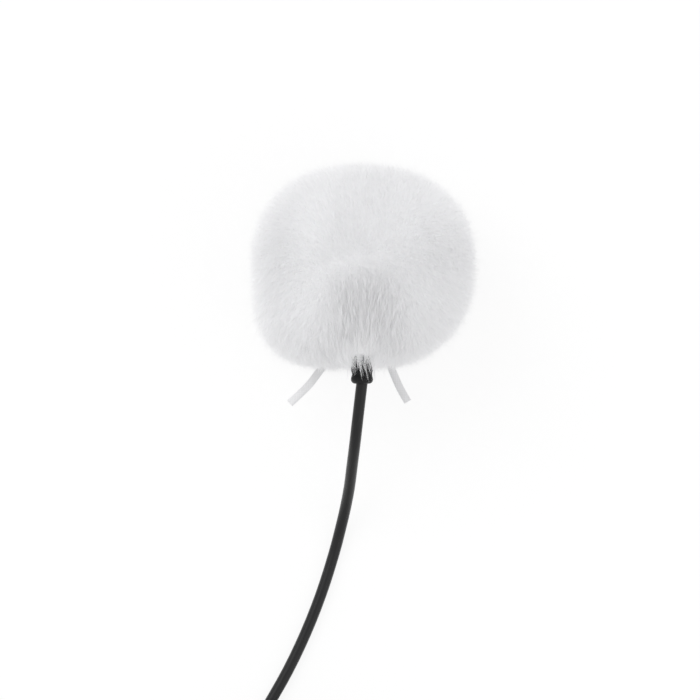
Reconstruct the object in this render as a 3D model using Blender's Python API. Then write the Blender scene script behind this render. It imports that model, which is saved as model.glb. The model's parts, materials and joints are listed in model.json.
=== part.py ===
"""Furry windscreen on a lapel microphone, with the microphone's lead and plug.

The ball of fur lies on a table, the microphone's axis runs along +Y, and the origin is the middle of
the flat patch that the fur rests on.
"""

import math

import bmesh
import bpy
from mathutils import Matrix, Vector

MM = 0.001

# Clearances
GAP = 0.3 * MM
TIGHT_GAP = 0.1 * MM

# Roundness of the turned solids
LARGE_STEPS = 32
SMALL_STEPS = 20
MERGE_DISTANCE = 0.0001 * MM
SHARP_ANGLE = math.radians(35)

# Fur ball
AXIS_HEIGHT = 17.5 * MM
FUR_RADIUS = 19.5 * MM
FUR_FRONT = 17.2 * MM
FUR_REAR = 18.5 * MM
FUR_FRONT_FULLNESS = 2.2
FUR_REAR_FULLNESS = 2.4
FUR_MOUTH_RADIUS = 9.5 * MM
PARTING_WIDTH = 0.5 * MM
PARTING_RISE = 1.5 * MM

# Knitted backing, sewn to a ball with one seam on top
BACKING_RADIUS = 12.2 * MM
BACKING_HALF_LENGTH = 11.0 * MM
BACKING_THICKNESS = 0.6 * MM
COLLAR_WIDTH = 0.6 * MM
TAPE_THICKNESS = 0.3 * MM
TAPE_WIDTH = 3.2 * MM
TAPE_START = math.radians(30)
TAPE_END = math.radians(146)
TAPE_POINTS = 16
CROWN_STITCH_RADIUS = 1.5 * MM

# Foam core and its pocket
POCKET_CLEARANCE = 0.3 * MM
POCKET_FREE_LENGTH = 5.5 * MM
FOAM_REAR_RADIUS = 4.5 * MM

# Drawstring and the hem that holds it
LACE_WIDTH = 1.35 * MM
LACE_THICKNESS = 0.35 * MM
LACE_ROLL = math.radians(24)
HEM_PLY = 0.4 * MM
HEM_LACE_CLEARANCE = 0.375 * MM
HEM_WINDOW_RISE = 0.1 * MM
LOOP_POINTS = 26
LACE_STEP = 1.2 * MM

# Route points of the two tails, from the loop outwards, in millimetres: across, along the
# microphone's axis, and down from it
RIGHT_TAIL = (
    (1.0, -12.7, 3.46), (2.5, -12.95, 3.55), (3.7, -14.0, 4.0), (4.4, -15.6, 4.7), (5.0, -17.6, 5.6),
    (5.8, -19.6, 6.4), (6.8, -21.8, 6.9), (8.05, -24.0, 6.9),
)
LEFT_TAIL = (
    (-1.0, -14.3, 3.48), (-2.6, -14.3, 3.7), (-4.5, -15.1, 4.3), (-6.1, -16.8, 5.0), (-7.6, -18.8, 5.9),
    (-9.2, -20.9, 6.6), (-10.8, -22.5, 6.9), (-12.4, -24.0, 6.8),
)

# Microphone
MIC_TIP = 2.5 * MM
MIC_RADIUS = 2.2 * MM
GRILLE_LENGTH = 1.6 * MM
GRILLE_SLOTS = 3
SLOT_WIDTH = 0.5 * MM
SLOT_SPACING = 1.05 * MM
SLOT_FILL = 0.8
SPIGOT_LENGTH = 0.8 * MM
SPIGOT_WALL = 0.35 * MM
BARREL_LENGTH = 12.0 * MM
BARREL_WALL = 0.35 * MM
BARREL_END_WALL = 0.8 * MM
SCREEN_THICKNESS = 0.15 * MM
CAN_LENGTH = 2.6 * MM
CAN_WALL = 0.15 * MM
SOUND_HOLE_RADIUS = 0.5 * MM
DIAPHRAGM_RING_THICKNESS = 0.25 * MM
DIAPHRAGM_THICKNESS = 0.08 * MM
SPACER_THICKNESS = 0.15 * MM
BACKPLATE_THICKNESS = 0.3 * MM
RING_WIDTH = 0.35 * MM
BOARD_THICKNESS = 0.4 * MM
BOARD_INSET = 0.15 * MM
FERRULE_LENGTH = 2.4 * MM

# Ribbed boot where the cable leaves the microphone
BOOT_RADIUS = 1.85 * MM
BOOT_RIB_DEPTH = 0.11 * MM
BOOT_LENGTH = 9.5 * MM
BOOT_RIB_PITCH = 1.85 * MM
BOOT_END_RADIUS = 0.75 * MM
BOOT_SPIGOT_RADIUS = 1.4 * MM
RIB_POINTS = 6

# Cable: route points of the middle of the cable, in millimetres, from the boot to the coil
CABLE_RADIUS = 1.0 * MM
CABLE_STEP = 4.6 * MM
CURVE_SAMPLES = 20
LEAD_ROUTE = (
    (0.0, -21.1, 17.5), (-0.75, -27.0, 16.7), (-1.2, -31.0, 14.9), (-1.7, -35.0, 11.6),
    (-2.2, -39.0, 7.5), (-2.95, -43.0, 3.9), (-3.9, -47.0, 1.75), (-4.95, -51.0, 1.05),
    (-7.0, -57.5, 1.05), (-9.5, -64.0, 1.05), (-12.5, -70.5, 1.05), (-15.7, -76.3, 1.05),
    (-19.6, -82.5, 1.05), (-24.7, -87.0, 1.05),
)
END_ROUTE = (
    (-24.2, -110.3, 1.05), (-21.8, -113.2, 1.05), (-18.9, -116.4, 1.5), (-15.4, -119.6, 2.8),
    (-11.6, -121.7, 4.1), (-8.3, -122.0, 4.4),
)
COIL_CENTRE = (-11.4 * MM, -98.4 * MM)
COIL_MID_RADIUS = 12.0 * MM
COIL_BAND = 8.4 * MM
COIL_HEIGHT = 8.2 * MM
COIL_CORNER = 2.4 * MM
TIE_WIDTH = 3.0 * MM
TIE_THICKNESS = 0.8 * MM
TIE_CLEARANCE = 0.5 * MM
TIE_FOOT = 1.0 * MM
TIE_ANGLE = math.radians(8)

# Jack plug, whose axis lies along +X
PLUG_START = (-8.0 * MM, -122.0 * MM, 4.4 * MM)
PLUG_BOOT_LENGTH = 8.0 * MM
PLUG_BOOT_REAR_RADIUS = 1.9 * MM
PLUG_BOOT_FRONT_RADIUS = 2.9 * MM
PLUG_BOOT_RIBS = 4
PLUG_BOOT_RIB_DEPTH = 0.25 * MM
SHELL_RADIUS = 3.5 * MM
SHELL_LENGTH = 10.0 * MM
SHELL_WALL = 0.7 * MM
SHELL_CHAMFER = 0.4 * MM
NOSE_RADIUS = 2.5 * MM
NOSE_LENGTH = 5.6 * MM
NUT_RADIUS = 4.2 * MM
NUT_LENGTH = 4.6 * MM
NUT_FLUTES = 20
NUT_FLUTE_DEPTH = 0.3 * MM
JACK_RADIUS = 1.75 * MM
JACK_SLEEVE_LENGTH = 7.2 * MM
JACK_RING_LENGTH = 1.9 * MM
JACK_INSULATOR_LENGTH = 0.6 * MM
JACK_TIP_LENGTH = 3.6 * MM
JACK_TIP_WAIST_RADIUS = 1.15 * MM
JACK_TIP_HEAD_RADIUS = 1.6 * MM
JACK_STEM_RADIUS = 0.55 * MM
JACK_WALL = 0.5 * MM
CORE_RADIUS = 2.4 * MM
CORE_LENGTH = 4.0 * MM


def clear_scene() -> None:
    """Remove every object from the scene."""
    for thing in list(bpy.data.objects):
        bpy.data.objects.remove(thing, do_unlink=True)


def make_material(name: str, colour: tuple, roughness: float, metallic: float = 0.0):
    """Make a Principled material of one colour."""
    made = bpy.data.materials.new(name)
    made.use_nodes = True
    shader = made.node_tree.nodes["Principled BSDF"]
    shader.inputs["Base Color"].default_value = (*colour, 1.0)
    shader.inputs["Roughness"].default_value = roughness
    shader.inputs["Metallic"].default_value = metallic
    return made


def add_object(name: str, data, finish, parent=None):
    """Link an object with its own copy of a finish, given as (colour, roughness, metallic)."""
    made = bpy.data.objects.new(name, data)
    bpy.context.collection.objects.link(made)
    made.parent = parent
    if finish:
        data.materials.append(make_material(name, *finish))
    return made


def add_empty(name: str, location: tuple, rotation: tuple):
    """Add an empty that carries an axis: its local +Z is the axis."""
    made = bpy.data.objects.new(name, None)
    made.location = location
    made.rotation_euler = rotation
    bpy.context.collection.objects.link(made)
    return made


def mesh_from(name: str, work, smooth: bool = True):
    """Turn a bmesh into a mesh with outward faces and sharp edges kept sharp."""
    bmesh.ops.remove_doubles(work, verts=work.verts, dist=MERGE_DISTANCE)
    bmesh.ops.recalc_face_normals(work, faces=work.faces)
    made = bpy.data.meshes.new(name)
    work.to_mesh(made)
    work.free()
    if smooth:
        made.shade_smooth()
        made.set_sharp_from_angle(angle=SHARP_ANGLE)
    return made


def turned(name: str, outline: list, finish, parent=None, steps: int = SMALL_STEPS):
    """Turn an outline of (station, radius) pairs about the local Z axis.

    An outline whose ends lie on the axis closes there; any other is joined end to end.
    """
    work = bmesh.new()
    verts = [work.verts.new((radius, 0.0, station)) for station, radius in outline]
    edges = [work.edges.new(pair) for pair in zip(verts, verts[1:])]
    if outline[0][1] > 0 or outline[-1][1] > 0:
        edges.append(work.edges.new((verts[-1], verts[0])))
    bmesh.ops.spin(
        work, geom=verts + edges, axis=(0, 0, 1), cent=(0, 0, 0),
        angle=math.tau, steps=steps, use_merge=True,
    )
    return add_object(name, mesh_from(name, work), finish, parent)


def tube(name: str, start: float, length: float, outer: float, inner: float, finish, parent=None):
    """Make a plain round tube, or a disc when inner is 0."""
    end = start + length
    outline = [(start, inner), (start, outer), (end, outer), (end, inner)]
    return turned(name, outline, finish, parent)


def add_box(name: str, low: tuple, high: tuple, parent=None):
    """Make a plain box between two corners, for cutting."""
    work = bmesh.new()
    bmesh.ops.create_cube(work, size=1.0)
    size = [b - a for a, b in zip(low, high)]
    middle = [(a + b) / 2 for a, b in zip(low, high)]
    bmesh.ops.scale(work, vec=size, verts=work.verts)
    bmesh.ops.translate(work, vec=middle, verts=work.verts)
    return add_object(name, mesh_from(name, work, smooth=False), None, parent)


def cut(target, cutter) -> None:
    """Cut one object with another by a Boolean modifier, and hide the cutter."""
    cutter.hide_render = True
    cutter.display_type = "WIRE"
    modifier = target.modifiers.new(cutter.name, "BOOLEAN")
    modifier.operation = "DIFFERENCE"
    modifier.solver = "EXACT"
    modifier.object = cutter


def superellipse(radius: float, half_length: float, fullness: float, angle: float) -> tuple:
    """Return (station, radius) on a rounded profile, where angle 0 is the pole and 90 degrees the rim."""
    along = half_length * max(math.cos(angle), 0.0) ** (2 / fullness)
    across = radius * max(math.sin(angle), 0.0) ** (2 / fullness)
    return along, across


def ellipse_station(radius: float, half_length: float, across: float, fullness: float) -> float:
    """Return how far along its axis a profile has the radius across."""
    return half_length * (1 - (across / radius) ** fullness) ** (1 / fullness)


def ball_arc(radius: float, half_length: float, mouth: float, count: int) -> list:
    """Return an ellipse's outline from its front pole to the rear, where its radius is mouth."""
    last = math.pi - math.asin(mouth / radius)
    angles = [last * i / count for i in range(count + 1)]
    return [(half_length * math.cos(a), radius * math.sin(a)) for a in angles]


def smooth_route(points: list, step: float) -> list:
    """Read a Catmull-Rom curve through the points about every step along it."""
    ends = [points[0] * 2 - points[1], *points, points[-1] * 2 - points[-2]]
    dense = []
    for p0, p1, p2, p3 in zip(ends, ends[1:], ends[2:], ends[3:]):
        for i in range(CURVE_SAMPLES):
            t = i / CURVE_SAMPLES
            bend = 2 * p0 - 5 * p1 + 4 * p2 - p3
            twist = 3 * p1 - p0 - 3 * p2 + p3
            dense.append((2 * p1 + (p2 - p0) * t + bend * t * t + twist * t ** 3) / 2)
    dense.append(points[-1])
    lengths = [0.0]
    for a, b in zip(dense, dense[1:]):
        lengths.append(lengths[-1] + (b - a).length)
    count = max(2, round(lengths[-1] / step))
    route, place = [], 0
    for i in range(count + 1):
        wanted = lengths[-1] * i / count
        while place < len(dense) - 2 and lengths[place + 1] < wanted:
            place += 1
        share = (wanted - lengths[place]) / (lengths[place + 1] - lengths[place])
        route.append(dense[place].lerp(dense[place + 1], min(max(share, 0.0), 1.0)))
    return route


def cable_tube(name: str, route: list, finish):
    """Make a stretch of cable as a round curve with filled ends."""
    data = bpy.data.curves.new(name, "CURVE")
    data.dimensions = "3D"
    data.bevel_depth = CABLE_RADIUS
    data.bevel_resolution = 2
    data.use_fill_caps = True
    spline = data.splines.new("POLY")
    spline.points.add(len(route) - 1)
    for point, place in zip(spline.points, route):
        point.co = (*place, 1.0)
    return add_object(name, data, finish)


# ---------------------------------------------------------------- windscreen

FABRIC_WHITE = ((0.86, 0.86, 0.87), 0.9)
FOAM_GREY = ((0.12, 0.12, 0.125), 0.95)

BACKING_INNER_RADIUS = BACKING_RADIUS - BACKING_THICKNESS
BACKING_INNER_LENGTH = BACKING_HALF_LENGTH - BACKING_THICKNESS
LINING_ROOM = 2 * GAP + TAPE_THICKNESS
POCKET_RADIUS = MIC_RADIUS + POCKET_CLEARANCE
LACE_RADIUS = POCKET_RADIUS + HEM_PLY + HEM_LACE_CLEARANCE + LACE_THICKNESS / 2
HEM_RADIUS = LACE_RADIUS + LACE_THICKNESS / 2 + HEM_LACE_CLEARANCE + HEM_PLY
HEM_LENGTH = 2 * LACE_WIDTH + 3 * GAP + 2 * HEM_PLY
HEM_FRONT = -BACKING_HALF_LENGTH - GAP
HEM_REAR = HEM_FRONT - HEM_LENGTH
LACE_PITCH = LACE_WIDTH + GAP
HEM_MIDDLE = (HEM_FRONT + HEM_REAR) / 2


def fur_outline() -> list:
    """Return the pile's outline: outer face, funnel round the neck, then the face on the backing."""
    front = [superellipse(FUR_RADIUS, FUR_FRONT, FUR_FRONT_FULLNESS, math.radians(a))
             for a in (0, 8, 17, 27, 38, 50, 62, 76, 90)]
    mouth = ellipse_station(FUR_RADIUS, FUR_REAR, FUR_MOUTH_RADIUS, FUR_REAR_FULLNESS)
    rear = [superellipse(FUR_RADIUS, FUR_REAR, FUR_REAR_FULLNESS, math.radians(a))
            for a in (76, 62, 50, 40, 32)]
    outer = front + [(-along, across) for along, across in rear if across > FUR_MOUTH_RADIUS + GAP]
    throat = HEM_RADIUS + 2 * GAP
    inner = ball_arc(BACKING_RADIUS + GAP, BACKING_HALF_LENGTH + GAP, throat, 14)
    return outer + [(-mouth, FUR_MOUTH_RADIUS)] + inner[::-1]


def parting_cutter(name: str, parent):
    """Make the thin box that opens the parting along the top, from the crown to the neck."""
    half = PARTING_WIDTH / 2
    reach = 2 * FUR_RADIUS
    return add_box(name, (-half, -reach, -reach), (half, -PARTING_RISE - BACKING_THICKNESS, reach), parent)


def build_fur(axis) -> None:
    """Build the pile: a thick soft shell with a funnel at the neck and a flat patch to rest on."""
    fur = turned("fur_pile", fur_outline(), FABRIC_WHITE, axis, LARGE_STEPS)
    cut(fur, parting_cutter("parting_cut_fur", axis))
    reach = 2 * FUR_RADIUS
    cut(fur, add_box("table_cut", (-reach, -reach, -reach), (reach, reach, 0.0)))


def build_backing(axis) -> None:
    """Build the knitted backing with its neck collar."""
    collar = HEM_RADIUS - GAP
    outer = ball_arc(BACKING_RADIUS, BACKING_HALF_LENGTH, collar, 12)
    inner = ball_arc(BACKING_INNER_RADIUS, BACKING_INNER_LENGTH, collar - COLLAR_WIDTH, 12)
    lip = [(-BACKING_HALF_LENGTH, collar), (-BACKING_HALF_LENGTH, collar - COLLAR_WIDTH)]
    backing = turned("backing_cloth", outer + lip + inner[::-1], FABRIC_WHITE, axis, LARGE_STEPS)
    cut(backing, parting_cutter("parting_cut_backing", axis))


def build_seam_tape(axis) -> None:
    """Build the tape that lies under the top seam, between backing and foam."""
    work = bmesh.new()
    outer = (BACKING_INNER_RADIUS - GAP, BACKING_INNER_LENGTH - GAP)
    inner = (outer[0] - TAPE_THICKNESS, outer[1] - TAPE_THICKNESS)
    rings = []
    for i in range(TAPE_POINTS + 1):
        angle = TAPE_START + (TAPE_END - TAPE_START) * i / TAPE_POINTS
        corners = []
        for (radius, length), side in ((outer, -1), (outer, 1), (inner, 1), (inner, -1)):
            place = (side * TAPE_WIDTH / 2, -radius * math.sin(angle), length * math.cos(angle))
            corners.append(work.verts.new(place))
        rings.append(corners)
    join_rings(work, rings)
    add_object("seam_tape", mesh_from("seam_tape", work), FABRIC_WHITE, axis)


def join_rings(work, rings: list) -> None:
    """Skin a row of four-cornered rings and close both ends."""
    for first, second in zip(rings, rings[1:]):
        for i in range(4):
            j = (i + 1) % 4
            work.faces.new((first[i], first[j], second[j], second[i]))
    work.faces.new(rings[0])
    work.faces.new(rings[-1][::-1])


def build_crown_stitch(axis) -> None:
    """Build the stitched knot that closes the backing at the crown."""
    start = BACKING_INNER_LENGTH - GAP - TAPE_THICKNESS
    tube("crown_stitch", start, TAPE_THICKNESS, CROWN_STITCH_RADIUS, 0.0, FABRIC_WHITE, axis)


def build_foam(axis) -> None:
    """Build the foam core with the blind pocket that takes the microphone."""
    radius = BACKING_INNER_RADIUS - LINING_ROOM
    half_length = BACKING_INNER_LENGTH - LINING_ROOM
    outer = ball_arc(radius, half_length, FOAM_REAR_RADIUS, 12)
    floor = MIC_TIP + POCKET_FREE_LENGTH
    pocket = [(outer[-1][0], POCKET_RADIUS), (floor, POCKET_RADIUS), (floor, 0.0)]
    turned("foam_core", outer + pocket, FOAM_GREY, axis, LARGE_STEPS)


def build_hem(axis) -> None:
    """Build the hem: a hollow ring of two plies whose outer ply is open below for the drawstring."""
    outer_ply = HEM_RADIUS - HEM_PLY
    inner_ply = POCKET_RADIUS + HEM_PLY
    front, rear = HEM_FRONT - HEM_PLY, HEM_REAR + HEM_PLY
    outline = [
        (HEM_FRONT, POCKET_RADIUS), (HEM_FRONT, HEM_RADIUS),
        (HEM_REAR, HEM_RADIUS), (HEM_REAR, POCKET_RADIUS),
    ]
    hem = turned("neck_hem", outline, FABRIC_WHITE, axis, LARGE_STEPS)
    cavity = [(front, inner_ply), (front, outer_ply), (rear, outer_ply), (rear, inner_ply)]
    cut(hem, turned("hem_cavity_cut", cavity, None, axis, LARGE_STEPS))
    low = (-HEM_RADIUS, inner_ply + HEM_WINDOW_RISE, rear)
    high = (HEM_RADIUS, 2 * HEM_RADIUS, front)
    cut(hem, add_box("hem_window_cut", low, high, axis))


def lace_route() -> tuple:
    """Return the lace's points from its right end, once round the neck, to its left end.

    The second list tells how far along a tail each point is: 0 on the loop and 1 at a cut end.
    """
    def tail_points(tail):
        return [Vector((x, drop, along)) * MM for x, along, drop in tail]

    loop = []
    for i in range(LOOP_POINTS + 1):
        turn = math.tau * i / LOOP_POINTS
        along = HEM_MIDDLE + LACE_PITCH * (0.5 - i / LOOP_POINTS)
        loop.append(Vector((-LACE_RADIUS * math.sin(turn), LACE_RADIUS * math.cos(turn), along)))
    right = smooth_route(tail_points(RIGHT_TAIL)[::-1] + loop[:2], LACE_STEP)[:-1]
    left = smooth_route(loop[-2:] + tail_points(LEFT_TAIL), LACE_STEP)[1:]
    inner_loop = loop[2:-2]
    shares = [1 - i / len(right) for i in range(len(right))]
    shares += [0.0] * (len(inner_loop) + 2)
    shares += [(i + 1) / len(left) for i in range(len(left))]
    return right + [loop[1]] + inner_loop + [loop[-2]] + left, shares


def build_drawstring(axis) -> None:
    """Build the flat lace: a loop in the hem and two tails that roll over a little."""
    points, shares = lace_route()
    work = bmesh.new()
    rings = []
    for i, (point, share) in enumerate(zip(points, shares)):
        ahead = points[min(i + 1, len(points) - 1)]
        behind = points[max(i - 1, 0)]
        tangent = (ahead - behind).normalized()
        radial = Vector((point.x, point.y, 0.0)).normalized()
        outward = radial.lerp(Vector((0.0, 1.0, 0.0)), min(1.0, 4 * share)).normalized()
        outward.rotate(Matrix.Rotation(LACE_ROLL * share, 3, tangent))
        width = tangent.cross(outward).normalized() * LACE_WIDTH / 2
        thickness = width.cross(tangent).normalized() * LACE_THICKNESS / 2
        corners = (-width - thickness, width - thickness, width + thickness, -width + thickness)
        rings.append([work.verts.new(point + corner) for corner in corners])
    join_rings(work, rings)
    add_object("drawstring", mesh_from("drawstring", work), FABRIC_WHITE, axis)


# ---------------------------------------------------------------- microphone

BLACK_METAL = ((0.03, 0.03, 0.032), 0.45, 0.6)
BLACK_RUBBER = ((0.02, 0.02, 0.021), 0.6)
BRIGHT_STEEL = ((0.62, 0.62, 0.63), 0.3, 1.0)
BRASS = ((0.8, 0.6, 0.3), 0.3, 1.0)
CLEAR_FILM = ((0.75, 0.75, 0.7), 0.3)
BOARD_GREEN = ((0.05, 0.22, 0.1), 0.5)
CABLE_BLACK = ((0.03, 0.03, 0.033), 0.5)

BORE_RADIUS = MIC_RADIUS - BARREL_WALL
FIT_RADIUS = BORE_RADIUS - TIGHT_GAP
GRILLE_REAR = MIC_TIP - GRILLE_LENGTH
BARREL_FRONT = GRILLE_REAR - TIGHT_GAP
BARREL_REAR = BARREL_FRONT - BARREL_LENGTH
BOOT_FRONT = BARREL_REAR - TIGHT_GAP
BOOT_REAR = BOOT_FRONT - BOOT_LENGTH
CABLE_BORE_RADIUS = CABLE_RADIUS + TIGHT_GAP


def build_grille(axis) -> None:
    """Build the front cap: a slotted face on a spigot that plugs into the barrel."""
    back = GRILLE_REAR - SPIGOT_LENGTH
    inside = FIT_RADIUS - SPIGOT_WALL
    face = MIC_TIP - GRILLE_LENGTH / 2
    corner = GRILLE_LENGTH / 4
    outline = [
        (MIC_TIP, 0.0), (MIC_TIP, MIC_RADIUS - corner), (MIC_TIP - corner, MIC_RADIUS),
        (GRILLE_REAR, MIC_RADIUS), (GRILLE_REAR, FIT_RADIUS), (back, FIT_RADIUS),
        (back, inside), (face, inside), (face, 0.0),
    ]
    cap = turned("grille_cap", outline, BLACK_METAL, axis)
    for i in range(GRILLE_SLOTS):
        middle = (i - (GRILLE_SLOTS - 1) / 2) * SLOT_SPACING
        half_length = SLOT_FILL * math.sqrt(inside ** 2 - middle ** 2)
        low = (middle - SLOT_WIDTH / 2, -half_length, face - GAP)
        high = (middle + SLOT_WIDTH / 2, half_length, MIC_TIP + GAP)
        cut(cap, add_box(f"grille_slot_cut_{i + 1}", low, high, axis))


def build_capsule(axis) -> None:
    """Build the capsule from front to back: screen, can, and the stack of discs inside the can."""
    screen_front = GRILLE_REAR - SPIGOT_LENGTH - TIGHT_GAP
    tube("acoustic_screen", screen_front - SCREEN_THICKNESS, SCREEN_THICKNESS, FIT_RADIUS, 0.0,
         FABRIC_WHITE, axis)
    front = screen_front - SCREEN_THICKNESS - TIGHT_GAP
    rear = front - CAN_LENGTH
    inside = FIT_RADIUS - CAN_WALL
    can = [
        (front, SOUND_HOLE_RADIUS), (front, FIT_RADIUS), (rear, FIT_RADIUS), (rear, inside),
        (front - CAN_WALL, inside), (front - CAN_WALL, SOUND_HOLE_RADIUS),
    ]
    turned("capsule_can", can, BRIGHT_STEEL, axis)
    disc = inside - TIGHT_GAP
    place = front - CAN_WALL
    for name, thickness, hole, finish in (
        ("diaphragm_ring", DIAPHRAGM_RING_THICKNESS, disc - RING_WIDTH, BRASS),
        ("diaphragm", DIAPHRAGM_THICKNESS, 0.0, CLEAR_FILM),
        ("spacer_ring", SPACER_THICKNESS, disc - RING_WIDTH, CLEAR_FILM),
        ("backplate", BACKPLATE_THICKNESS, SOUND_HOLE_RADIUS / 2, BRASS),
    ):
        place -= TIGHT_GAP + thickness
        tube(name, place, thickness, disc, hole, finish, axis)
    tube("preamp_board", rear + BOARD_INSET, BOARD_THICKNESS, disc, 0.0, BOARD_GREEN, axis)


def build_barrel(axis) -> None:
    """Build the barrel, and the ferrule that grips the cable inside it."""
    inner_end = BARREL_REAR + BARREL_END_WALL
    hole = BOOT_SPIGOT_RADIUS + TIGHT_GAP
    chamfer = BARREL_WALL / 2
    outline = [
        (BARREL_FRONT, BORE_RADIUS), (BARREL_FRONT, MIC_RADIUS), (BARREL_REAR + chamfer, MIC_RADIUS),
        (BARREL_REAR, MIC_RADIUS - chamfer), (BARREL_REAR, hole), (inner_end, hole), (inner_end, BORE_RADIUS),
    ]
    turned("barrel", outline, BLACK_METAL, axis)
    tube("cable_ferrule", inner_end + TIGHT_GAP, FERRULE_LENGTH, FIT_RADIUS, CABLE_BORE_RADIUS,
         BRIGHT_STEEL, axis)


def build_boot(axis) -> None:
    """Build the ribbed rubber boot, whose spigot fills the barrel's rear hole."""
    spigot_end = BARREL_REAR + BARREL_END_WALL
    outline = [
        (spigot_end, CABLE_BORE_RADIUS), (spigot_end, BOOT_SPIGOT_RADIUS),
        (BOOT_FRONT, BOOT_SPIGOT_RADIUS),
    ]
    ribbed = BOOT_LENGTH - BOOT_END_RADIUS
    count = RIB_POINTS * round(ribbed / BOOT_RIB_PITCH)
    for i in range(count + 1):
        behind = ribbed * i / count
        wave = math.cos(math.tau * (ribbed - behind) / BOOT_RIB_PITCH)
        outline.append((BOOT_FRONT - behind, BOOT_RADIUS + BOOT_RIB_DEPTH * wave))
    rim = BOOT_RADIUS + BOOT_RIB_DEPTH - BOOT_END_RADIUS
    for degrees in (30, 60, 90):
        angle = math.radians(degrees)
        along = BOOT_FRONT - ribbed - BOOT_END_RADIUS * math.sin(angle)
        outline.append((along, rim + BOOT_END_RADIUS * math.cos(angle)))
    outline.append((BOOT_REAR, CABLE_BORE_RADIUS))
    turned("strain_relief", outline, BLACK_RUBBER, axis)
    entry_start = spigot_end + FERRULE_LENGTH + 2 * GAP
    tube("cable_entry", BOOT_REAR, entry_start - BOOT_REAR, CABLE_RADIUS, 0.0, CABLE_BLACK, axis)


# ---------------------------------------------------------------- cable and plug

def route_points(route: tuple, start: Vector, end: Vector) -> list:
    """Turn a route in millimetres into points, with both ends tied to the pieces that they meet."""
    inner = [Vector(place) * MM for place in route[1:-1]]
    return smooth_route([start, *inner, end], CABLE_STEP)


def meet_coil(place: tuple) -> Vector:
    """Return the point beside the coil's outer face, GAP away from it, in the direction of place."""
    centre = Vector((*COIL_CENTRE, 0.0))
    toward = Vector(place) * MM - centre
    height = toward.z
    toward.z = 0.0
    reach = COIL_MID_RADIUS + COIL_BAND / 2 + GAP + CABLE_RADIUS
    met = centre + toward.normalized() * reach
    met.z = height
    return met


def build_cable() -> None:
    """Build the lead from the boot to the coil, the coil, its tie, and the end that meets the plug."""
    boot_end = Vector((0.0, BOOT_REAR - GAP, AXIS_HEIGHT))
    plug_end = Vector(PLUG_START) - Vector((GAP, 0.0, 0.0))
    cable_tube("cable_lead", route_points(LEAD_ROUTE, boot_end, meet_coil(LEAD_ROUTE[-1])), CABLE_BLACK)
    cable_tube("cable_end", route_points(END_ROUTE, meet_coil(END_ROUTE[0]), plug_end), CABLE_BLACK)
    centre = add_empty("coil_axis", (*COIL_CENTRE, 0.0), (0.0, 0.0, 0.0))
    inner, outer = COIL_MID_RADIUS - COIL_BAND / 2, COIL_MID_RADIUS + COIL_BAND / 2
    outline = []
    for across, along, first in (
        (outer - COIL_CORNER, COIL_CORNER, -90), (outer - COIL_CORNER, COIL_HEIGHT - COIL_CORNER, 0),
        (inner + COIL_CORNER, COIL_HEIGHT - COIL_CORNER, 90), (inner + COIL_CORNER, COIL_CORNER, 180),
    ):
        for degrees in (0, 30, 60, 90):
            angle = math.radians(first + degrees)
            outline.append((along + COIL_CORNER * math.sin(angle), across + COIL_CORNER * math.cos(angle)))
    turned("cable_coil", outline, CABLE_BLACK, centre, LARGE_STEPS)
    build_tie(centre, inner, outer)


def build_tie(centre, inner: float, outer: float) -> None:
    """Build the strap that holds the coil together: a flat band bent round its section."""
    room = TIE_CLEARANCE
    work = bmesh.new()
    sections = []
    for offset in (room, room + TIE_THICKNESS):
        low, high = TIE_FOOT, COIL_HEIGHT + offset
        left, right = inner - offset, outer + offset
        corner = COIL_CORNER
        ring = []
        for across, along, first in (
            (right - corner, high - corner, 0), (left + corner, high - corner, 90),
        ):
            for degrees in (0, 30, 60, 90):
                angle = math.radians(first + degrees)
                ring.append((across + corner * math.cos(angle), along + corner * math.sin(angle)))
        sections.append([(right, low), *ring, (left, low)])
    loop = sections[0] + sections[1][::-1]
    sides = []
    for side in (-TIE_WIDTH / 2, TIE_WIDTH / 2):
        sides.append([work.verts.new((across, side, along)) for across, along in loop])
    work.faces.new(sides[0])
    work.faces.new(sides[1][::-1])
    for i in range(len(loop)):
        j = (i + 1) % len(loop)
        work.faces.new((sides[0][i], sides[1][i], sides[1][j], sides[0][j]))
    tie = add_object("coil_tie", mesh_from("coil_tie", work), BLACK_RUBBER, centre)
    tie.rotation_euler = (0.0, 0.0, TIE_ANGLE)


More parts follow.
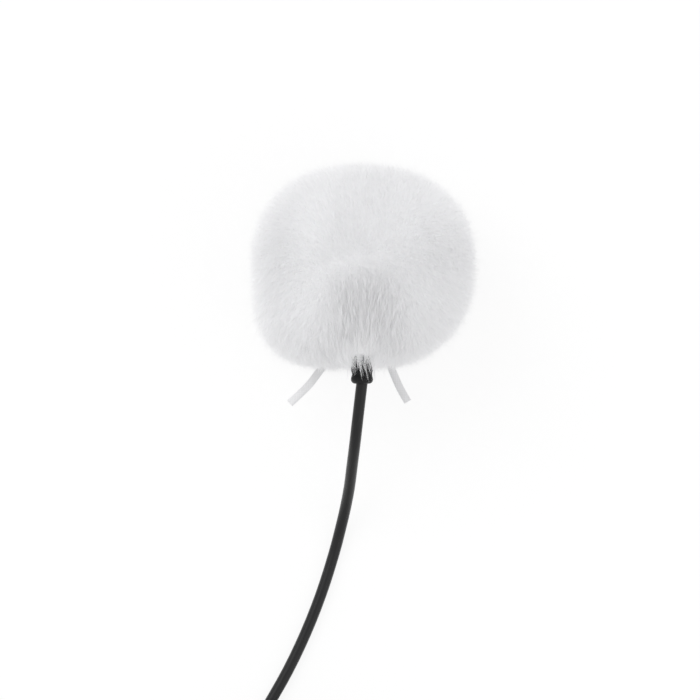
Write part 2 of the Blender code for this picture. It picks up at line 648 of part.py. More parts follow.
def build_plug() -> None:
    """Build the jack plug from its boot to its tip, with the lock nut on its own axis."""
    axis = add_empty("plug_axis", PLUG_START, (0.0, math.radians(90), 0.0))
    boot = []
    count = RIB_POINTS * PLUG_BOOT_RIBS
    for i in range(count + 1):
        share = i / count
        wave = 1 - math.cos(math.tau * PLUG_BOOT_RIBS * share)
        radius = PLUG_BOOT_REAR_RADIUS + (PLUG_BOOT_FRONT_RADIUS - PLUG_BOOT_REAR_RADIUS) * share
        boot.append((PLUG_BOOT_LENGTH * share, radius - PLUG_BOOT_RIB_DEPTH * wave / 2))
    boot = [(0.0, CABLE_BORE_RADIUS), *boot, (PLUG_BOOT_LENGTH, CABLE_BORE_RADIUS)]
    turned("plug_boot", boot, BLACK_RUBBER, axis)
    tube("plug_cable_entry", 0.0, PLUG_BOOT_LENGTH + GAP, CABLE_RADIUS, 0.0, CABLE_BLACK, axis)

    shell_start = PLUG_BOOT_LENGTH + GAP
    shell_end = shell_start + SHELL_LENGTH
    nose_end = shell_end + NOSE_LENGTH
    cavity = SHELL_RADIUS - SHELL_WALL
    cavity_end = shell_end - SHELL_WALL
    bore = JACK_RADIUS + TIGHT_GAP
    shell = [
        (shell_start, cavity), (shell_start, SHELL_RADIUS - SHELL_CHAMFER),
        (shell_start + SHELL_CHAMFER, SHELL_RADIUS), (shell_end - SHELL_CHAMFER, SHELL_RADIUS),
        (shell_end, SHELL_RADIUS - SHELL_CHAMFER), (shell_end, NOSE_RADIUS), (nose_end, NOSE_RADIUS),
        (nose_end, bore), (cavity_end, bore), (cavity_end, cavity),
    ]
    turned("plug_shell", shell, BLACK_METAL, axis)
    build_nut(axis, shell_end + GAP)
    build_jack(axis, cavity_end, nose_end)


def build_nut(axis, start: float) -> None:
    """Build the lock nut, fluted round its rim, which spins on the shell's nose."""
    end = start + NUT_LENGTH
    chamfer = SHELL_CHAMFER
    bore = NOSE_RADIUS + TIGHT_GAP
    outline = [
        (start, bore), (start, NUT_RADIUS - chamfer), (start + chamfer, NUT_RADIUS),
        (end - chamfer, NUT_RADIUS), (end, NUT_RADIUS - chamfer), (end, bore),
    ]
    nut = turned("lock_nut", outline, BLACK_METAL, axis, 2 * NUT_FLUTES)
    for vertex in nut.data.vertices:
        across = math.hypot(vertex.co.x, vertex.co.y)
        turn = round(math.atan2(vertex.co.y, vertex.co.x) / math.tau * 2 * NUT_FLUTES)
        if turn % 2 and across > NUT_RADIUS - chamfer / 2:
            vertex.co.x *= 1 - NUT_FLUTE_DEPTH / across
            vertex.co.y *= 1 - NUT_FLUTE_DEPTH / across


def build_jack(axis, cavity_end: float, nose_end: float) -> None:
    """Build the three contacts, the insulators between them and the core that carries them."""
    flange_start = cavity_end - TIGHT_GAP - JACK_WALL
    sleeve_end = nose_end + JACK_SLEEVE_LENGTH
    stem_room = JACK_STEM_RADIUS + TIGHT_GAP
    sleeve_inner = JACK_RADIUS - JACK_WALL
    sleeve = [
        (flange_start, sleeve_inner), (flange_start, CORE_RADIUS), (flange_start + JACK_WALL, CORE_RADIUS),
        (flange_start + JACK_WALL, JACK_RADIUS), (sleeve_end, JACK_RADIUS), (sleeve_end, sleeve_inner),
    ]
    turned("jack_sleeve", sleeve, BRIGHT_STEEL, axis)
    place = sleeve_end + TIGHT_GAP
    for name, length, finish in (
        ("jack_insulator_rear", JACK_INSULATOR_LENGTH, BLACK_RUBBER),
        ("jack_ring", JACK_RING_LENGTH, BRIGHT_STEEL),
        ("jack_insulator_front", JACK_INSULATOR_LENGTH, BLACK_RUBBER),
    ):
        tube(name, place, length, JACK_RADIUS, stem_room, finish, axis)
        place += length + TIGHT_GAP
    core_start = flange_start - TIGHT_GAP - CORE_LENGTH
    waist, head = JACK_TIP_WAIST_RADIUS, JACK_TIP_HEAD_RADIUS
    tip = [
        (core_start - CORE_LENGTH / 4, 0.0), (core_start - CORE_LENGTH / 4, JACK_STEM_RADIUS),
        (place, JACK_STEM_RADIUS), (place, JACK_RADIUS),
        (place + 0.12 * JACK_TIP_LENGTH, JACK_RADIUS), (place + 0.28 * JACK_TIP_LENGTH, waist),
        (place + 0.52 * JACK_TIP_LENGTH, head), (place + 0.66 * JACK_TIP_LENGTH, head),
        (place + 0.92 * JACK_TIP_LENGTH, head / 2), (place + JACK_TIP_LENGTH, 0.0),
    ]
    turned("jack_tip", tip, BRIGHT_STEEL, axis)
    tube("plug_core", core_start, CORE_LENGTH, CORE_RADIUS, stem_room, BLACK_RUBBER, axis)


def main() -> None:
    """Build the whole assembly."""
    clear_scene()
    axis = add_empty("microphone_axis", (0.0, 0.0, AXIS_HEIGHT), (math.radians(-90), 0.0, 0.0))
    for build in (
        build_fur, build_backing, build_seam_tape, build_crown_stitch, build_foam, build_hem,
        build_drawstring, build_grille, build_capsule, build_barrel, build_boot,
    ):
        build(axis)
    build_cable()
    build_plug()


if __name__ == "__main__":
    main()
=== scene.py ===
"""Furry windscreen on a lapel microphone: its fur, laces, cable and finishes, and a small studio."""

import json
import logging
import math
from dataclasses import dataclass, field
from enum import Enum

import bmesh
import bpy
import numpy as np
from mathutils import Matrix, Vector
from mathutils.kdtree import KDTree


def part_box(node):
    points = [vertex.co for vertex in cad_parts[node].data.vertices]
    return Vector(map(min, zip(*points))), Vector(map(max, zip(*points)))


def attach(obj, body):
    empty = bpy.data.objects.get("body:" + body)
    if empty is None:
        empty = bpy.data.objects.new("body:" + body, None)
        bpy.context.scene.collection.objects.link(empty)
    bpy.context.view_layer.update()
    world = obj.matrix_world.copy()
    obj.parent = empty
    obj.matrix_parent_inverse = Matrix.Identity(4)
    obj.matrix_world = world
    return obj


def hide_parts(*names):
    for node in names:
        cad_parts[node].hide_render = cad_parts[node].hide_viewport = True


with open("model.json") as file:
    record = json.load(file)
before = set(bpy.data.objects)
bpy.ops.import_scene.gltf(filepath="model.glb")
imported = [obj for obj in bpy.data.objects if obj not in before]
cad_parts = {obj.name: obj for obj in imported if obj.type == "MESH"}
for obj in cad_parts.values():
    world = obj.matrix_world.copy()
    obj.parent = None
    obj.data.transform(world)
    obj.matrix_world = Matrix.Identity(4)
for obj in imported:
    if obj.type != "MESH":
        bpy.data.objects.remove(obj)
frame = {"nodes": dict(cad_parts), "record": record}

MM = 0.001
LOG = logging.getLogger("furry_windscreen")
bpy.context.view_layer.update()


# ---------------------------------------------------------------- shader helpers


class Signal:
    """A number that travels through a material, written with ordinary operators."""

    def __init__(self, surface: "Surface", socket: bpy.types.NodeSocket) -> None:
        """Wrap one output socket.

        Args:
            surface: The material being built.
            socket: The output that carries the number.
        """
        self.surface = surface
        self.socket = socket

    def _maths(self, operation: str, first: object, second: object) -> "Signal":
        """Add one Math node between two numbers or signals."""
        made = self.surface.node("ShaderNodeMath", {"operation": operation}, {0: first, 1: second})
        return Signal(self.surface, made.outputs[0])

    def __add__(self, other: object) -> "Signal":
        """Add a number or a signal."""
        return self._maths("ADD", self, other)

    def __radd__(self, other: object) -> "Signal":
        """Add to a number."""
        return self._maths("ADD", other, self)

    def __sub__(self, other: object) -> "Signal":
        """Take away a number or a signal."""
        return self._maths("SUBTRACT", self, other)

    def __rsub__(self, other: object) -> "Signal":
        """Take away from a number."""
        return self._maths("SUBTRACT", other, self)

    def __mul__(self, other: object) -> "Signal":
        """Multiply by a number or a signal."""
        return self._maths("MULTIPLY", self, other)

    def __rmul__(self, other: object) -> "Signal":
        """Multiply a number."""
        return self._maths("MULTIPLY", other, self)

    def power(self, exponent: float) -> "Signal":
        """Raise to a power."""
        return self._maths("POWER", self, exponent)


class Surface:
    """A material under construction, with one Principled shader."""

    def __init__(self, name: str) -> None:
        """Start an empty material.

        Args:
            name: The material's name.
        """
        self.material = bpy.data.materials.new(name)
        self.material.use_nodes = True
        self.tree = self.material.node_tree
        self.shader = self.tree.nodes["Principled BSDF"]

    def node(self, kind: str, settings: dict | None = None, values: dict | None = None) -> bpy.types.Node:
        """Add any node.

        Args:
            kind: The node's type.
            settings: Properties set first; a ramp's stops come as "stops".
            values: Socket names or numbers, each with a value, a socket or a signal.

        Returns:
            The new node.
        """
        made = self.tree.nodes.new(kind)
        for key, value in (settings or {}).items():
            if key == "stops":
                self._set_stops(made, value)
            else:
                setattr(made, key, value)
        for key, value in (values or {}).items():
            self.feed(made.inputs[key], value)
        return made

    def feed(self, socket: bpy.types.NodeSocket, value: object) -> None:
        """Set a socket to a value, or link it to a socket or signal."""
        if isinstance(value, Signal):
            value = value.socket
        if isinstance(value, bpy.types.NodeSocket):
            self.tree.links.new(value, socket)
        else:
            socket.default_value = value

    @staticmethod
    def _set_stops(ramp: bpy.types.Node, stops: list) -> None:
        """Give a colour ramp its stops, each a place and a grey or a colour."""
        elements = ramp.color_ramp.elements
        while len(elements) < len(stops):
            elements.new(1.0)
        for element, (place, colour) in zip(elements, stops):
            element.position = place
            element.color = (*grey(colour), 1.0)

    def set(self, **values: object) -> None:
        """Set the shader's sockets, named with underscores for spaces."""
        for key, value in values.items():
            self.feed(self.shader.inputs[key.replace("_", " ")], value)

    def place(self) -> bpy.types.NodeSocket:
        """Return the surface's own place in metres."""
        return self.node("ShaderNodeTexCoord").outputs["Object"]

    def noise(self, scale: float, detail: float = 3.0, vector: object = None) -> Signal:
        """Add a noise pattern.

        Args:
            scale: Lumps per metre.
            detail: How many finer octaves.
            vector: Where it is read; the surface's own place when None.

        Returns:
            The noise, from 0 to 1.
        """
        values = {"Vector": vector or self.place(), "Scale": scale, "Detail": detail}
        return Signal(self, self.node("ShaderNodeTexNoise", None, values).outputs["Fac"])

    def blend(self, mask: object, low: tuple, high: tuple) -> bpy.types.NodeSocket:
        """Mix two colours by a mask and return the colour socket."""
        mixer = self.node("ShaderNodeMix", {"data_type": "RGBA"}, {0: mask})
        self.feed(mixer.inputs[6], (*low, 1.0))
        self.feed(mixer.inputs[7], (*high, 1.0))
        return mixer.outputs[2]

    def bump(self, height: object, depth: float) -> None:
        """Raise the surface by a height signal, depth metres from lowest to highest."""
        values = {"Height": height, "Strength": 1.0, "Distance": depth}
        self.set(Normal=self.node("ShaderNodeBump", None, values).outputs["Normal"])


def grey(value: object) -> tuple:
    """Return a colour, repeating a single number three times."""
    return tuple(value) if hasattr(value, "__len__") else (value, value, value)


# ---------------------------------------------------------------- finishes


@dataclass(frozen=True)
class FurFinish:
    """Fine white synthetic hair, a little darker at its root and passing some light through."""

    name: str = "white_hair"
    root: tuple = (0.95, 0.95, 0.957)
    tip: tuple = (0.98, 0.98, 0.984)
    shade: tuple = (0.96, 0.96, 0.967)
    through: float = 0.5

    def build(self) -> bpy.types.Material:
        """Build the material; it reads only the strand map, whose V runs from root to tip."""
        surface = Surface(self.name)
        strands = surface.node("ShaderNodeUVMap", {"uv_map": "OFBake"})
        parts = surface.node("ShaderNodeSeparateXYZ", None, {0: strands.outputs[0]})
        column, along = Signal(surface, parts.outputs[0]), Signal(surface, parts.outputs[1])
        tint = surface.node("ShaderNodeTexWhiteNoise", {"noise_dimensions": "1D"}, {"W": column * 200.0})
        tips = surface.blend(Signal(surface, tint.outputs["Value"]), self.shade, self.tip)
        mixer = surface.node("ShaderNodeMix", {"data_type": "RGBA"}, {0: along.power(0.6)})
        surface.feed(mixer.inputs[6], (*self.root, 1.0))
        surface.feed(mixer.inputs[7], tips)
        colour = mixer.outputs[2]
        surface.set(Base_Color=colour, Roughness=0.62, Specular_IOR_Level=0.25)
        glow = surface.node("ShaderNodeBsdfTranslucent", None, {"Color": colour})
        both = surface.node("ShaderNodeMixShader", None, {0: self.through})
        surface.feed(both.inputs[1], surface.shader.outputs[0])
        surface.feed(both.inputs[2], glow.outputs[0])
        surface.feed(surface.tree.nodes["Material Output"].inputs[0], both.outputs[0])
        return surface.material


@dataclass(frozen=True)
class ClothFinish:
    """Knitted or woven fabric."""

    name: str
    low: tuple
    high: tuple
    threads: float = 2600.0
    depth: float = 0.00006

    def build(self) -> bpy.types.Material:
        """Build crossed threads with a soft mottle."""
        surface = Surface(self.name)
        bands = []
        for direction in ("X", "Y"):
            settings = {"wave_type": "BANDS", "bands_direction": direction}
            values = {"Vector": surface.place(), "Scale": self.threads / 6.5, "Distortion": 0.6, "Detail": 1.0}
            bands.append(Signal(surface, surface.node("ShaderNodeTexWave", settings, values).outputs["Fac"]))
        weave = (bands[0] + bands[1]) * 0.5
        mottle = surface.noise(900.0)
        surface.set(Base_Color=surface.blend(weave * 0.6 + mottle * 0.4, self.low, self.high), Roughness=0.9)
        surface.set(Sheen_Weight=0.25, Sheen_Roughness=0.5)
        surface.bump(weave + mottle * 0.3, self.depth)
        return surface.material


@dataclass(frozen=True)
class FoamFinish:
    """Open-cell foam."""

    name: str = "grey_foam"
    low: tuple = (0.055, 0.055, 0.058)
    high: tuple = (0.17, 0.17, 0.175)
    cells: float = 2200.0

    def build(self) -> bpy.types.Material:
        """Build pores from a cell pattern."""
        surface = Surface(self.name)
        values = {"Vector": surface.place(), "Scale": self.cells}
        cells = Signal(surface, surface.node("ShaderNodeTexVoronoi", None, values).outputs["Distance"])
        surface.set(Base_Color=surface.blend(cells, self.high, self.low), Roughness=0.95)
        surface.bump(cells * -1.0, 0.00018)
        return surface.material


@dataclass(frozen=True)
class RubberFinish:
    """Moulded rubber or cable jacket, with a fine grain and faint scuffs."""

    name: str
    low: tuple
    high: tuple
    roughness: float = 0.5
    grain: float = 9000.0
    depth: float = 0.000012
    coat: float = 0.0
    specular: float = 0.5
    bloom: float = 0.0

    def build(self) -> bpy.types.Material:
        """Build the grain, the scuffs and the gloss that goes with them."""
        surface = Surface(self.name)
        grain = surface.noise(self.grain, 2.0)
        scuffs = surface.noise(420.0, 5.0)
        surface.set(Base_Color=surface.blend(scuffs * 0.7 + grain * 0.3, self.low, self.high))
        surface.set(Roughness=self.roughness - 0.1 + scuffs * 0.2, Coat_Weight=self.coat, Coat_Roughness=0.3)
        surface.set(Specular_IOR_Level=self.specular, Sheen_Weight=self.bloom, Sheen_Roughness=0.35)
        surface.bump(grain, self.depth)
        return surface.material


@dataclass(frozen=True)
class MetalFinish:
    """Turned or plated metal with fine tool marks round its axis."""

    name: str
    low: tuple
    high: tuple
    metallic: float = 1.0
    roughness: float = 0.28
    marks: tuple = (7000.0, 900.0, 900.0)

    def build(self) -> bpy.types.Material:
        """Build the marks by stretching a noise across the axis."""
        surface = Surface(self.name)
        values = {"Vector": surface.place(), "Scale": self.marks}
        stretched = surface.node("ShaderNodeMapping", None, values).outputs[0]
        marks = surface.noise(1.0, 3.0, stretched)
        stains = surface.noise(300.0, 4.0)
        surface.set(Base_Color=surface.blend(stains * 0.6 + marks * 0.4, self.low, self.high))
        surface.set(Metallic=self.metallic, Roughness=self.roughness - 0.08 + marks * 0.16)
        surface.bump(marks, 0.000004)
        return surface.material


class Finish(Enum):
    """Every finish on the object."""

    HAIR = FurFinish()
    BACKING = ClothFinish("white_knit", (0.74, 0.74, 0.75), (0.88, 0.88, 0.89))
    LACE = ClothFinish("white_lace", (0.72, 0.72, 0.73), (0.81, 0.81, 0.82), 5200.0, 0.00002)
    UNDERCOAT = ClothFinish("white_undercoat", (0.94, 0.94, 0.946), (0.97, 0.97, 0.975), 5200.0, 0.00003)
    SCREEN = ClothFinish("screen_mesh", (0.10, 0.10, 0.10), (0.55, 0.55, 0.55), 6000.0)
    FOAM = FoamFinish()
    BOOT = RubberFinish(
        "boot_rubber", (0.004, 0.004, 0.0045), (0.014, 0.014, 0.0145), 0.42, 5000.0, 0.00005, specular=0.2)
    JACKET = RubberFinish(
        "cable_jacket", (0.004, 0.004, 0.0045), (0.009, 0.009, 0.0095), 0.4, specular=0.3, bloom=0.42)
    STRAP = RubberFinish("strap_rubber", (0.02, 0.02, 0.022), (0.05, 0.05, 0.052), 0.6, 3000.0, 0.00004)
    PLASTIC = RubberFinish("black_plastic", (0.012, 0.012, 0.013), (0.025, 0.025, 0.026), 0.35)
    BOARD = RubberFinish("circuit_board", (0.02, 0.12, 0.05), (0.05, 0.24, 0.10), 0.4, 2500.0)
    FILM = RubberFinish("clear_film", (0.66, 0.66, 0.60), (0.80, 0.80, 0.74), 0.25)
    BLACK_METAL = MetalFinish("black_metal", (0.018, 0.018, 0.02), (0.04, 0.04, 0.043), 0.55, 0.42)
    NICKEL = MetalFinish("nickel", (0.52, 0.52, 0.53), (0.68, 0.68, 0.69))
    BRASS = MetalFinish("brass", (0.62, 0.42, 0.16), (0.80, 0.60, 0.28))


class Wardrobe:
    """Builds each finish once and hands it out."""

    def __init__(self) -> None:
        """Start with nothing built."""
        self._made: dict = {}

    def get(self, finish: Finish) -> bpy.types.Material:
        """Return the material of a finish."""
        if finish not in self._made:
            self._made[finish] = finish.value.build()
        return self._made[finish]

    def dress(self, piece: bpy.types.Object, finish: Finish) -> None:
        """Give a piece one finish in place of whatever it has."""
        piece.data.materials.clear()
        piece.data.materials.append(self.get(finish))


# ---------------------------------------------------------------- modelling helpers


def smoothstep(share: object) -> object:
    """Ease a share between 0 and 1, for numbers and arrays alike."""
    held = np.clip(share, 0.0, 1.0)
    return held * held * (3 - 2 * held)


def smooth_route(points: list, step: float) -> list:
    """Read a curve through the points at even steps.

    Args:
        points: Route points.
        step: About how far apart the result's points are, in metres.

    Returns:
        The points along the curve, both ends included.
    """
    ends = [points[0] * 2 - points[1], *points, points[-1] * 2 - points[-2]]
    dense = []
    for p0, p1, p2, p3 in zip(ends, ends[1:], ends[2:], ends[3:]):
        for i in range(20):
            t = i / 20
            bend = 2 * p0 - 5 * p1 + 4 * p2 - p3
            twist = 3 * p1 - p0 - 3 * p2 + p3
            dense.append((2 * p1 + (p2 - p0) * t + bend * t * t + twist * t ** 3) / 2)
    dense.append(points[-1])
    lengths = [0.0]
    for a, b in zip(dense, dense[1:]):
        lengths.append(lengths[-1] + (b - a).length)
    count = max(2, round(lengths[-1] / step))
    route, spot = [], 0
    for i in range(count + 1):
        wanted = lengths[-1] * i / count
        while spot < len(dense) - 2 and lengths[spot + 1] < wanted:
            spot += 1
        share = (wanted - lengths[spot]) / (lengths[spot + 1] - lengths[spot])
        route.append(dense[spot].lerp(dense[spot + 1], min(max(share, 0.0), 1.0)))
    return route


def finish_mesh(name: str, work: bmesh.types.BMesh, body: str, angle: float = 40.0) -> bpy.types.Object:
    """Turn a bmesh into a piece that rides on a body.

    Args:
        name: The piece's name.
        work: The mesh, which is freed.
        body: The CAD body that carries the piece.
        angle: Edges sharper than this many degrees stay sharp.

    Returns:
        The new piece.
    """
    bmesh.ops.remove_doubles(work, verts=work.verts, dist=1e-7)
    bmesh.ops.recalc_face_normals(work, faces=work.faces)
    mesh = bpy.data.meshes.new(name)
    work.to_mesh(mesh)
    work.free()
    mesh.shade_smooth()
    mesh.set_sharp_from_angle(angle=math.radians(angle))
    piece = bpy.data.objects.new(name, mesh)
    bpy.context.collection.objects.link(piece)
    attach(piece, body)
    return piece


def spin_outline(outline: list, steps: int, turn: Matrix) -> bmesh.types.BMesh:
    """Turn a closed outline about an axis.

    Args:
        outline: Pairs of place along the axis and radius.
        steps: How many faces go round.
        turn: Moves the local Z axis to where the piece lies.

    Returns:
        The turned mesh.
    """
    work = bmesh.new()
    verts = [work.verts.new((radius, 0.0, along)) for along, radius in outline]
    edges = [work.edges.new(pair) for pair in zip(verts, verts[1:])]
    if outline[0][1] > 0 or outline[-1][1] > 0:
        edges.append(work.edges.new((verts[-1], verts[0])))
    bmesh.ops.spin(
        work, geom=verts + edges, axis=(0, 0, 1), cent=(0, 0, 0),
        angle=math.tau, steps=steps, use_merge=True,
    )
    bmesh.ops.transform(work, matrix=turn, verts=work.verts)
    return work


def box_middle(node: str) -> Vector:
    """Return the middle of a CAD node's box."""
    low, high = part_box(node)
    return (Vector(low) + Vector(high)) / 2


# ---------------------------------------------------------------- the ball of fur


@dataclass
class FurBall:
    """The pile: a dense undercoat and long strands combed away from the parting and down to the neck."""

    axis_height: float = 17.5 * MM
    left: float = 19.4 * MM
    right: float = 19.9 * MM
    height: float = 19.0 * MM
    front: float = 17.6 * MM
    rear: float = 18.2 * MM
    front_fullness: float = 2.3
    rear_fullness_left: float = 3.4
    rear_fullness_right: float = 2.3
    under_share: float = 0.92
    hollow: float = 0.045
    mouth_half_width: float = 2.9 * MM
    mouth_edge: float = -14.6 * MM
    locks: int = 54
    lock_strands: int = 8
    throat: float = 5.0 * MM
    sectors: int = 9
    strands: int = 205000
    rows: int = 4
    width: float = 0.05 * MM
    clump_spacing: float = 0.6 * MM
    seed: int = 7

    def envelope(self, ways: np.ndarray) -> np.ndarray:
        """Return how far the fur reaches in each direction.

        Args:
            ways: Unit directions from the ball's middle, one per row.

        Returns:
            Distances in metres.
        """
        across = np.where(ways[:, 0] < 0, self.left, self.right)
        side = np.sqrt((ways[:, 0] / across) ** 2 + (ways[:, 2] / self.height) ** 2)
        ahead = ways[:, 1] > 0
        length = np.where(ahead, self.front, self.rear)
        rightward = smoothstep((ways[:, 0] + 0.8) / 1.6)
        rear = self.rear_fullness_left + (self.rear_fullness_right - self.rear_fullness_left) * rightward
        fullness = np.where(ahead, self.front_fullness, rear)
        inner = side ** fullness + (np.abs(ways[:, 1]) / length) ** fullness
        return inner ** (-1 / fullness)

    def coat(self, ways: np.ndarray) -> np.ndarray:
        """Return how far the dense undercoat reaches in each direction; it is hollowed along the seam.

        Args:
            ways: Unit directions from the ball's middle, one per row.

        Returns:
            Distances in metres.
        """
        return self.envelope(ways) * self.under_share * (1 - self.hollow * self.ruffle(ways))

    def roots(self, draw: np.random.Generator) -> tuple:
        """Spread the strands' roots evenly over the undercoat, outside the neck.

        Args:
            draw: The source of chance.

        Returns:
            Unit directions and root places about the ball's middle.
        """
        count = int(self.strands * 1.06)
        order = np.arange(count) + 0.5
        along = 1 - 2 * order / count
        around = math.pi * (1 + math.sqrt(5)) * order + draw.normal(0, 0.02, count)
        ring = np.sqrt(1 - along ** 2)
        ways = np.stack([ring * np.cos(around), along, ring * np.sin(around)], axis=1)
        ways += draw.normal(0, 0.006, ways.shape)
        ways /= np.linalg.norm(ways, axis=1, keepdims=True)
        places = ways * self.coat(ways)[:, None]
        off_axis = np.hypot(places[:, 0], places[:, 2])
        kept = (ways[:, 1] > 0) | (off_axis > self.throat)
        kept &= ~((ways[:, 2] < -0.93) & (draw.random(count) < 0.5))
        return ways[kept], places[kept]

    def clumps(self, ways: np.ndarray, places: np.ndarray, draw: np.random.Generator) -> tuple:
        """Gather the strands into small clumps that lean together.

        Args:
            ways: Directions of the strands.
            places: Their roots.
            draw: The source of chance.

        Returns:
            Each strand's clump direction and lean.
        """
        area = 4 * math.pi * (self.under_share * self.height) ** 2
        count = int(area / self.clump_spacing ** 2)
        picked = draw.choice(len(ways), count, replace=False)
        tree = KDTree(count)
        for i, one in enumerate(picked):
            tree.insert(places[one], i)
        tree.balance()
        owner = np.array([tree.find(place)[1] for place in places])
        lean = draw.normal(0, 1, (count, 3))
        return ways[picked][owner], lean[owner]

    def ruffle(self, ways: np.ndarray) -> np.ndarray:
        """Return how ruffled the fur is: 1 along the top seam down to the neck, 0 on both cheeks.

        Args:
            ways: Directions of the strands.

        Returns:
            Shares from 0 to 1.
        """
        x, y, z = ways.T
        spread = 0.10 + 0.16 * smoothstep((0.3 - y) / 0.7)
        along = 0.05 + 0.95 * smoothstep((-0.15 - y) / 0.5)
        return np.exp(-((x + 0.02) / spread) ** 2) * smoothstep((z + 0.1) / 0.5) * along

    def comb(self, ways: np.ndarray) -> np.ndarray:
        """Return how far each strand's tip is combed sideways, as a vector.

        Args:
            ways: Directions of the strands.

        Returns:
            Displacements in metres.
        """
        x, y, z = ways.T
        top = smoothstep((z + 0.1) / 0.5)
        parting = x + 0.03 + 0.05 * np.sin(9 * y) + 0.02 * np.sin(31 * y)
        near_parting = np.exp(-(parting / 0.16) ** 2) * top * smoothstep((0.93 - y) / 0.2)
        beard = np.exp(-(x / 0.34) ** 2) * top * smoothstep((0.18 - y) / 0.55)
        fringe = smoothstep((-y - 0.5) / 0.3)
        swirl = np.sin(3.1 * x + 2.2 * z) * 0.9 * MM
        push = np.zeros_like(ways)
        push[:, 0] += np.sign(parting) * near_parting * 0.15 * MM * (1 - beard)
        push[:, 1] -= beard * 3.6 * MM + fringe * 1.2 * MM
        push[:, 0] -= beard * x * 4.0 * MM
        push[:, 1] += swirl * (1 - beard)
        push[:, 2] += 0.5 * MM * np.sin(4.0 * y + 1.0)
        return push

    def strand_points(self, draw: np.random.Generator) -> tuple:
        """Work out every strand's course from root to tip.

        Args:
            draw: The source of chance.

        Returns:
            Points as an array of strand, row and coordinate, and the strands' directions.
        """
        ways, roots = self.roots(draw)
        clump_ways, lean = self.clumps(ways, roots, draw)
        count = len(ways)
        reach = self.envelope(ways)
        spread = draw.normal(0, 1, (count, 3))
        stretch = 0.975 + 0.03 * draw.normal(0, 1, count)
        stray = draw.random(count) < 0.05
        stretch = np.where(stray, stretch + 0.08 * draw.random(count), stretch)
        stretch = np.clip(stretch, 0.93, 1.12)
        tips = ways * (reach * stretch)[:, None]
        toward = clump_ways * (reach * stretch)[:, None]
        ruffled = self.ruffle(ways)[:, None]
        gather = 0.6 * ruffled * (0.6 + 0.8 * draw.random((count, 1)))
        tips = tips + (toward - tips) * gather
        tips += lean * (0.04 + 0.55 * ruffled) * MM + spread * np.where(stray, 0.9, 0.4)[:, None] * MM
        combed = self.comb(ways)
        tips += combed
        level = np.linalg.norm(combed, axis=1) / MM
        length = np.linalg.norm(tips, axis=1)
        held = self.envelope(tips / length[:, None]) * (stretch + 0.004 * level)
        tips *= (held / length)[:, None]
        floor = -self.axis_height + 0.15 * MM
        tips[:, 2] = np.maximum(tips[:, 2], floor + 0.6 * MM * draw.random(count))
        rise = np.linalg.norm(tips - roots, axis=1, keepdims=True)
        middle = roots + ways * rise * 0.62 + spread * 0.12 * MM
        middle[:, 2] = np.maximum(middle[:, 2], floor)
        shares = (np.arange(self.rows + 1) / self.rows)[None, :, None]
        course = (
            roots[:, None, :] * (1 - shares) ** 2
            + 2 * middle[:, None, :] * shares * (1 - shares)
            + tips[:, None, :] * shares ** 2
        )
        opening = smoothstep((self.mouth_half_width - np.abs(tips[:, 0])) / (1.8 * MM))
        opening *= smoothstep((self.mouth_edge - tips[:, 1]) / (2.4 * MM)) * (tips[:, 2] > 0)
        kept = draw.random(count) > 0.97 * opening
        locks, lock_ways = self.boot_locks(draw)
        course = np.concatenate([course[kept], locks])
        course[:, :, 2] += self.axis_height
        return course, np.concatenate([ways[kept], lock_ways])

    def boot_locks(self, draw: np.random.Generator) -> tuple:
        """Work out the thin locks of hair that fall over the boot behind the neck.

        Args:
            draw: The source of chance.

        Returns:
            Points about the ball's middle, by strand and row, and the strands' directions.
        """
        count = self.locks * self.lock_strands
        owner = np.repeat(np.arange(self.locks), self.lock_strands)
        across = (owner + 0.5) / self.locks * 2 - 1
        reach, bend, sink = draw.random((3, self.locks))[:, owner]
        loose = draw.normal(0, 1, (count, 6)) * MM
        roots = np.stack([
            across * 3.6 * MM + 0.3 * loose[:, 0], -13.4 * MM + 0.5 * loose[:, 1], (7.2 - 1.4 * across ** 2) * MM,
        ], axis=1)
        tips = np.stack([
            (across * 2.4 + (bend - 0.35) * 2.6) * MM + 0.08 * loose[:, 2],
            (-16.2 - 4.5 * reach ** 1.4) * MM + 0.3 * loose[:, 3],
            (2.5 + 1.6 * sink) * MM + 0.08 * loose[:, 4],
        ], axis=1)
        middle = (roots + tips) / 2 + np.array([0.0, -0.9, 1.0]) * MM
        middle[:, 0] += 0.15 * loose[:, 5]
        shares = (np.arange(self.rows + 1) / self.rows)[None, :, None]
        course = (
            roots[:, None, :] * (1 - shares) ** 2
            + 2 * middle[:, None, :] * shares * (1 - shares)
            + tips[:, None, :] * shares ** 2
        )
        return course, roots / np.linalg.norm(roots, axis=1, keepdims=True)

